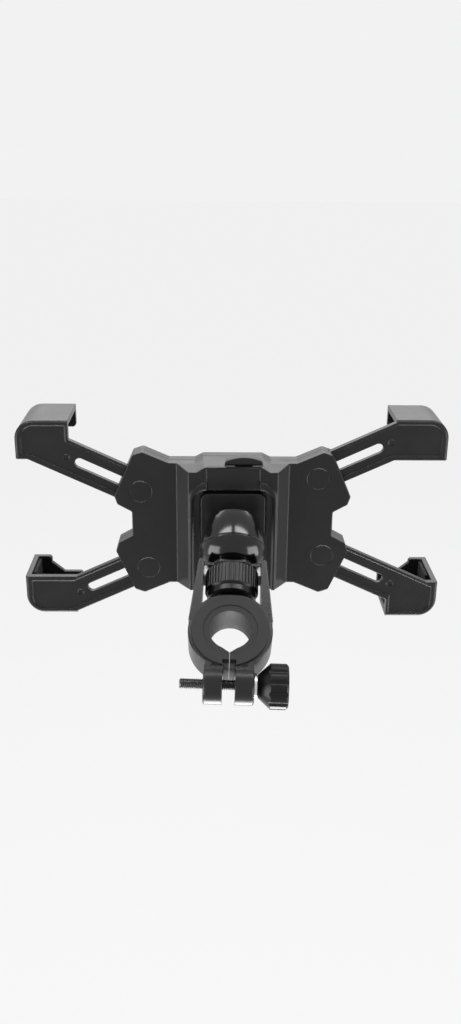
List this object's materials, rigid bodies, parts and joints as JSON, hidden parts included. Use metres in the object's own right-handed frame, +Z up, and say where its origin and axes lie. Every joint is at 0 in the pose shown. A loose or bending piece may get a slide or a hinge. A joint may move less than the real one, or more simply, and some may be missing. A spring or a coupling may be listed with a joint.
{
  "type": "bicycle phone mount",
  "caption": "Phone mount for a handlebar: four spring-opened claws on a rack and pinion, quick-release rail, lockable ball joint and screw clamp with rubber liner.",
  "frame": {"origin": "centre of the handlebar clamp's bore", "axes": "+X along the long side of the cradle, +Y from the handlebar towards the phone, +Z up; the bore leans 55 degrees about X"},
  "size_m": [0.182, 0.1166, 0.0896],
  "materials": {
    "body_plastic": "fine matte texture",
    "trim_plastic": "matte",
    "gloss_plastic": "polished black",
    "clamp_plastic": "semi-matte",
    "knob_plastic": "satin",
    "black_rubber": "matte",
    "pad_rubber": "matte",
    "gear_plastic": "natural acetal",
    "zinc_steel": "zinc plated",
    "black_steel": "black oxide",
    "spring_steel": "spring wire",
    "ball_metal": "black anodised"
  },
  "bodies": {
    "clamp": {"clamp_body": "clamp_plastic", "socket_cup": "gloss_plastic", "socket_cap": "gloss_plastic", "rubber_liner": "black_rubber", "clamp_nut": "zinc_steel"},
    "lock_wheel": {"lock_wheel": "knob_plastic"},
    "pusher": {"pusher": "zinc_steel"},
    "clamp_screw_carriage": {"clamp_washer": "zinc_steel"},
    "clamp_screw": {"clamp_bolt": "black_steel", "clamp_knob": "knob_plastic"},
    "friction_pad": {"friction_pad": "gear_plastic"},
    "ball": {"ball_stud": "ball_metal"},
    "shoe": {"quick_release_shoe": "body_plastic", "shoe_screw": "zinc_steel"},
    "cradle": {"back_cover": "body_plastic", "front_cover": "body_plastic", "screw_caps": "trim_plastic", "cover_screws": "zinc_steel", "front_pad": "pad_rubber", "pinion_axle": "zinc_steel", "opening_spring": "spring_steel", "pawl_pin": "zinc_steel", "pawl_spring": "spring_steel", "latch_pin": "black_steel"},
    "pinion": {"pinion_gear": "gear_plastic", "ratchet_wheel": "zinc_steel"},
    "release_button": {"release_button": "trim_plastic"},
    "pawl": {"pawl_lever": "zinc_steel"},
    "latch": {"latch_tab": "trim_plastic"},
    "arm_upper_left": {"arm_upper_left": "body_plastic", "claw_pad_upper_left": "pad_rubber"},
    "arm_upper_right": {"arm_upper_right": "body_plastic", "claw_pad_upper_right": "pad_rubber"},
    "arm_lower_right": {"arm_lower_right": "body_plastic", "claw_pad_lower_right": "pad_rubber"},
    "arm_lower_left": {"arm_lower_left": "body_plastic", "claw_pad_lower_left": "pad_rubber"}
  },
  "joints": [
    {"name": "lock_wheel_turn", "type": "hinge", "parent": "clamp", "child": "lock_wheel", "pos_m": [0.00081, 0.01801, 0.01261], "axis": [0.0366, 0.8186, 0.5732], "range_deg": [0, 360]},
    {"name": "pusher_slide", "type": "slide", "parent": "clamp", "child": "pusher", "axis": [-0.0366, -0.8186, -0.5732], "range_m": [0, 0.001]},
    {"name": "screw_travel", "type": "slide", "parent": "clamp", "child": "clamp_screw_carriage", "axis": [0.9993, -0.03, -0.021], "range_m": [0, 0.007]},
    {"name": "knob_turn", "type": "hinge", "parent": "clamp_screw_carriage", "child": "clamp_screw", "pos_m": [-0.0007, -0.01564, -0.01095], "axis": [0.9993, -0.03, -0.021], "range_deg": [0, 3600]},
    {"name": "ball_swivel", "type": "hinge", "parent": "clamp", "child": "friction_pad", "pos_m": [0.00168, 0.03761, 0.02634], "axis": [0.0366, 0.8186, 0.5732], "continuous": true},
    {"name": "ball_tilt", "type": "hinge", "parent": "friction_pad", "child": "ball", "pos_m": [0.00168, 0.03761, 0.02634], "axis": [0.998, 0, -0.0638], "range_deg": [-2.8, 73]},
    {"name": "cradle_spin", "type": "hinge", "parent": "ball", "child": "shoe", "pos_m": [0.00168, 0.03761, 0.02634], "axis": [0, -1, 0], "continuous": true},
    {"name": "quick_release_slide", "type": "slide", "parent": "shoe", "child": "cradle", "axis": [0, 0, 1], "range_m": [0, 0.045]},
    {"name": "pinion_turn", "type": "hinge", "parent": "cradle", "child": "pinion", "pos_m": [0.00168, 0.06191, 0.02164], "axis": [0, -1, 0], "range_deg": [0, 238.7]},
    {"name": "pawl_lift", "type": "hinge", "parent": "cradle", "child": "pawl", "pos_m": [0.00918, 0.06191, 0.03314], "axis": [0, 1, 0], "range_deg": [0, 11.3], "stiffness_Nm_per_rad": 0.03, "springref_deg": -5.73},
    {"name": "release_press", "type": "slide", "parent": "cradle", "child": "release_button", "axis": [0, 0, -1], "range_m": [0, 0.001]},
    {"name": "latch_press", "type": "hinge", "parent": "cradle", "child": "latch", "pos_m": [0.00168, 0.05371, 0.04564], "axis": [-1, 0, 0], "range_deg": [0, 6], "stiffness_Nm_per_rad": 0.25, "springref_deg": -2.86},
    {"name": "arm_upper_left_slide", "type": "slide", "parent": "cradle", "child": "arm_upper_left", "axis": [0.9063, 0, -0.4226], "range_m": [0, 0.025]},
    {"name": "arm_upper_right_slide", "type": "slide", "parent": "cradle", "child": "arm_upper_right", "axis": [-0.9063, 0, -0.4226], "range_m": [0, 0.025]},
    {"name": "arm_lower_right_slide", "type": "slide", "parent": "cradle", "child": "arm_lower_right", "axis": [-0.9063, 0, 0.4226], "range_m": [0, 0.025]},
    {"name": "arm_lower_left_slide", "type": "slide", "parent": "cradle", "child": "arm_lower_left", "axis": [0.9063, 0, 0.4226], "range_m": [0, 0.025]}
  ],
  "couplings": [
    {"joint": "pusher_slide", "follows": "lock_wheel_turn", "m_per_rad": 0.00015915},
    {"joint": "screw_travel", "follows": "knob_turn", "m_per_rad": 0.00011141},
    {"joint": "pawl_lift", "follows": "release_press", "rad_per_m": 197.22},
    {"joint": "arm_upper_left_slide", "follows": "pinion_turn", "m_per_rad": 0.006},
    {"joint": "arm_upper_right_slide", "follows": "pinion_turn", "m_per_rad": 0.006},
    {"joint": "arm_lower_right_slide", "follows": "pinion_turn", "m_per_rad": 0.006},
    {"joint": "arm_lower_left_slide", "follows": "pinion_turn", "m_per_rad": 0.006}
  ]
}
